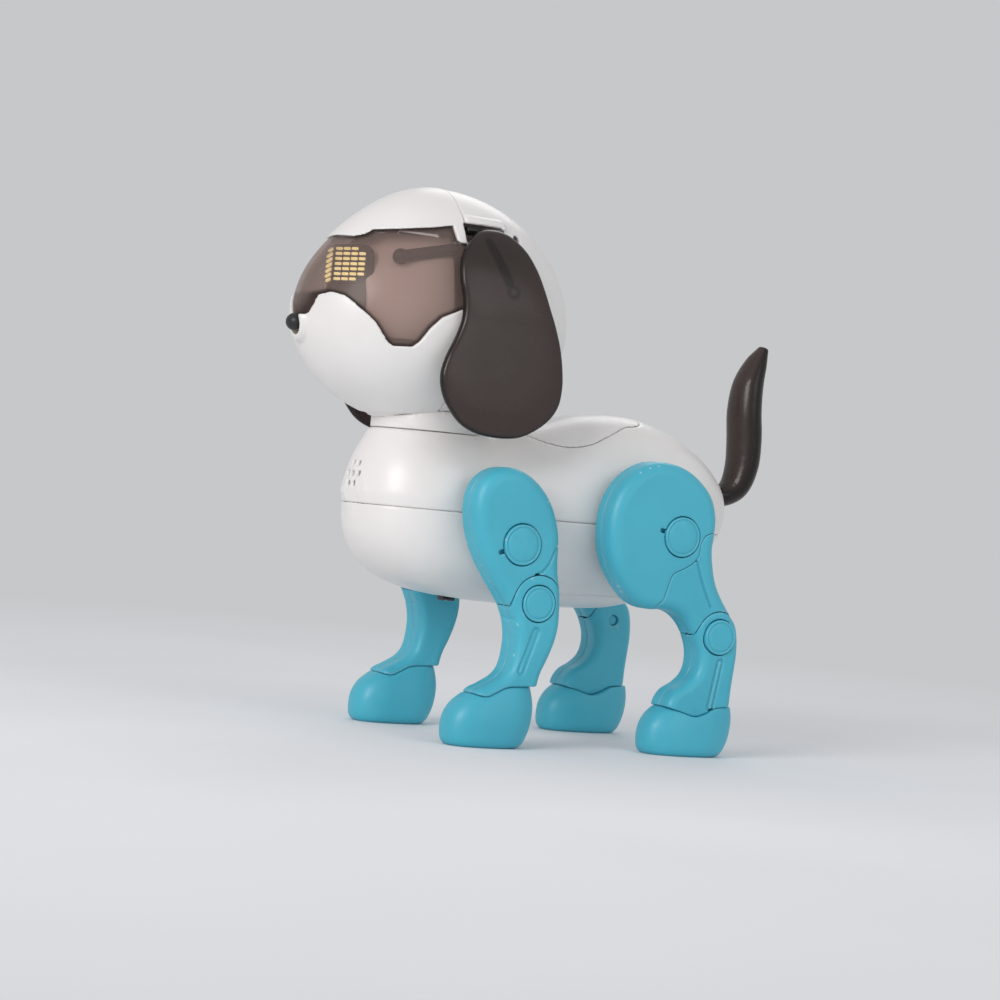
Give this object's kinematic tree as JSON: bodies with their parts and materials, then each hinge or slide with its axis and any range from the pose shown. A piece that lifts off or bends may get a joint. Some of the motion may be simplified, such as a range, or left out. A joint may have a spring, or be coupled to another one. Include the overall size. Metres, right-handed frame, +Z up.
{
  "type": "robot dog toy",
  "caption": "Standing toy robot dog with a turning egg-shaped head, tinted visor, drooping ears, wagging tail and hinged walking legs driven by a geared motor.",
  "frame": {"origin": "middle of the bounding box, on the plane of the paw soles", "axes": "+X to the dog's left flank, -Y the way the dog faces, +Z up"},
  "size_m": [0.0912, 0.194, 0.1885],
  "materials": {
    "white_shell": "satin moulded ABS, warm white",
    "teal_shell": "satin moulded ABS, teal",
    "smoke_clear": "clear polycarbonate tinted smoky brown",
    "black_plastic": "fine matt moulded ABS, black",
    "inner_white": "matt white inner skin behind the visor, with a black lamp board",
    "steel": "plain bright steel",
    "brass": "machined brass",
    "natural_nylon": "natural nylon",
    "cell_jacket": "plain printed film over steel",
    "circuit_green": "solder mask"
  },
  "bodies": {
    "torso": {"body_upper": "white_shell", "body_lower": "white_shell", "saddle_cover": "white_shell", "motor": "steel", "gearbox_frame": "natural_nylon", "hip_axle_front": "steel", "hip_axle_rear": "steel", "battery_1": "cell_jacket", "battery_2": "cell_jacket", "battery_3": "cell_jacket", "circuit_board": "circuit_green", "speaker": "steel", "tail_pin": "steel"},
    "head": {"head_rear": "white_shell", "head_cap": "white_shell", "face_shell": "white_shell", "visor": "smoke_clear", "nose": "black_plastic", "led_board": "inner_white", "neck_collar": "white_shell"},
    "ear_left": {"ear_left": "smoke_clear"},
    "ear_right": {"ear_right": "smoke_clear"},
    "tail": {"tail": "smoke_clear"},
    "switch": {"switch_knob": "black_plastic"},
    "battery_door": {"battery_door": "white_shell", "door_screw": "steel"},
    "motor_rotor": {"motor_pinion": "brass"},
    "gear_1": {"reduction_gear_1": "natural_nylon"},
    "gear_2": {"reduction_gear_2": "natural_nylon"},
    "crank": {"crank_gear": "natural_nylon"},
    "leg_front_left": {"thigh_inner_front_left": "teal_shell", "thigh_outer_front_left": "teal_shell", "hip_cap_front_left": "teal_shell", "knee_pin_front_left": "teal_shell"},
    "shank_front_left": {"shank_outer_front_left": "teal_shell", "shank_inner_front_left": "teal_shell", "paw_front_left": "teal_shell"},
    "leg_front_right": {"thigh_inner_front_right": "teal_shell", "thigh_outer_front_right": "teal_shell", "hip_cap_front_right": "teal_shell", "knee_pin_front_right": "teal_shell"},
    "shank_front_right": {"shank_outer_front_right": "teal_shell", "shank_inner_front_right": "teal_shell", "paw_front_right": "teal_shell"},
    "leg_rear_left": {"thigh_inner_rear_left": "teal_shell", "thigh_outer_rear_left": "teal_shell", "hip_cap_rear_left": "teal_shell", "knee_pin_rear_left": "teal_shell", "calf_cover_left": "teal_shell"},
    "shank_rear_left": {"shank_outer_rear_left": "teal_shell", "shank_inner_rear_left": "teal_shell", "paw_rear_left": "teal_shell"},
    "leg_rear_right": {"thigh_inner_rear_right": "teal_shell", "thigh_outer_rear_right": "teal_shell", "hip_cap_rear_right": "teal_shell", "knee_pin_rear_right": "teal_shell", "calf_cover_right": "teal_shell"},
    "shank_rear_right": {"shank_outer_rear_right": "teal_shell", "shank_inner_rear_right": "teal_shell", "paw_rear_right": "teal_shell"}
  },
  "joints": [
    {"name": "head_yaw", "type": "hinge", "parent": "torso", "child": "head", "pos_m": [0, -0.041, 0.105], "axis": [0, 0, 1], "range_deg": [-15, 15]},
    {"name": "ear_left_swing", "type": "hinge", "parent": "head", "child": "ear_left", "pos_m": [0.0255, -0.0385, 0.1732], "axis": [0, -1, 0], "range_deg": [0, 30]},
    {"name": "ear_right_swing", "type": "hinge", "parent": "head", "child": "ear_right", "pos_m": [-0.0255, -0.0385, 0.1732], "axis": [0, 1, 0], "range_deg": [0, 30]},
    {"name": "tail_wag", "type": "hinge", "parent": "torso", "child": "tail", "pos_m": [0, 0.07, 0.092], "axis": [0, 0, 1], "range_deg": [-12, 12]},
    {"name": "hip_front_left", "type": "hinge", "parent": "torso", "child": "leg_front_left", "pos_m": [0.0366, -0.0226, 0.069], "axis": [1, 0, 0], "range_deg": [-12, 12]},
    {"name": "hip_front_right", "type": "hinge", "parent": "torso", "child": "leg_front_right", "pos_m": [-0.0366, -0.0226, 0.069], "axis": [1, 0, 0], "range_deg": [-12, 12]},
    {"name": "hip_rear_left", "type": "hinge", "parent": "torso", "child": "leg_rear_left", "pos_m": [0.0366, 0.0402, 0.0763], "axis": [1, 0, 0], "range_deg": [-12, 12]},
    {"name": "hip_rear_right", "type": "hinge", "parent": "torso", "child": "leg_rear_right", "pos_m": [-0.0366, 0.0402, 0.0763], "axis": [1, 0, 0], "range_deg": [-12, 12]},
    {"name": "knee_front_left", "type": "hinge", "parent": "leg_front_left", "child": "shank_front_left", "pos_m": [0.0366, -0.0143, 0.0496], "axis": [1, 0, 0], "range_deg": [-5, 5]},
    {"name": "knee_front_right", "type": "hinge", "parent": "leg_front_right", "child": "shank_front_right", "pos_m": [-0.0366, -0.0143, 0.0496], "axis": [1, 0, 0], "range_deg": [-5, 5]},
    {"name": "knee_rear_left", "type": "hinge", "parent": "leg_rear_left", "child": "shank_rear_left", "pos_m": [0.0366, 0.0595, 0.0424], "axis": [1, 0, 0], "range_deg": [-5, 5]},
    {"name": "knee_rear_right", "type": "hinge", "parent": "leg_rear_right", "child": "shank_rear_right", "pos_m": [-0.0366, 0.0595, 0.0424], "axis": [1, 0, 0], "range_deg": [-5, 5]},
    {"name": "power_switch", "type": "slide", "parent": "torso", "child": "switch", "axis": [0, 1, 0], "range_m": [-0.002, 0.002]},
    {"name": "battery_door_off", "type": "slide", "parent": "torso", "child": "battery_door", "axis": [0, 0, -1], "range_m": [0, 0.03]},
    {"name": "motor_spin", "type": "hinge", "parent": "torso", "child": "motor_rotor", "pos_m": [0.015, 0.03, 0.09], "axis": [1, 0, 0], "continuous": true},
    {"name": "gear_1_spin", "type": "hinge", "parent": "torso", "child": "gear_1", "pos_m": [0.014, 0.0145, 0.09], "axis": [1, 0, 0], "continuous": true},
    {"name": "gear_2_spin", "type": "hinge", "parent": "torso", "child": "gear_2", "pos_m": [0.01, -0.001, 0.09], "axis": [1, 0, 0], "continuous": true},
    {"name": "crank_spin", "type": "hinge", "parent": "torso", "child": "crank", "pos_m": [0.007, -0.0155, 0.09], "axis": [1, 0, 0], "continuous": true}
  ],
  "couplings": [
    {"joint": "gear_1_spin", "follows": "motor_spin", "ratio": -0.29167},
    {"joint": "gear_2_spin", "follows": "motor_spin", "ratio": 0.085069},
    {"joint": "crank_spin", "follows": "motor_spin", "ratio": -0.027068},
    {"joint": "hip_front_right", "follows": "hip_front_left", "ratio": -1},
    {"joint": "hip_rear_left", "follows": "hip_front_left", "ratio": -1},
    {"joint": "hip_rear_right", "follows": "hip_front_left", "ratio": 1}
  ]
}
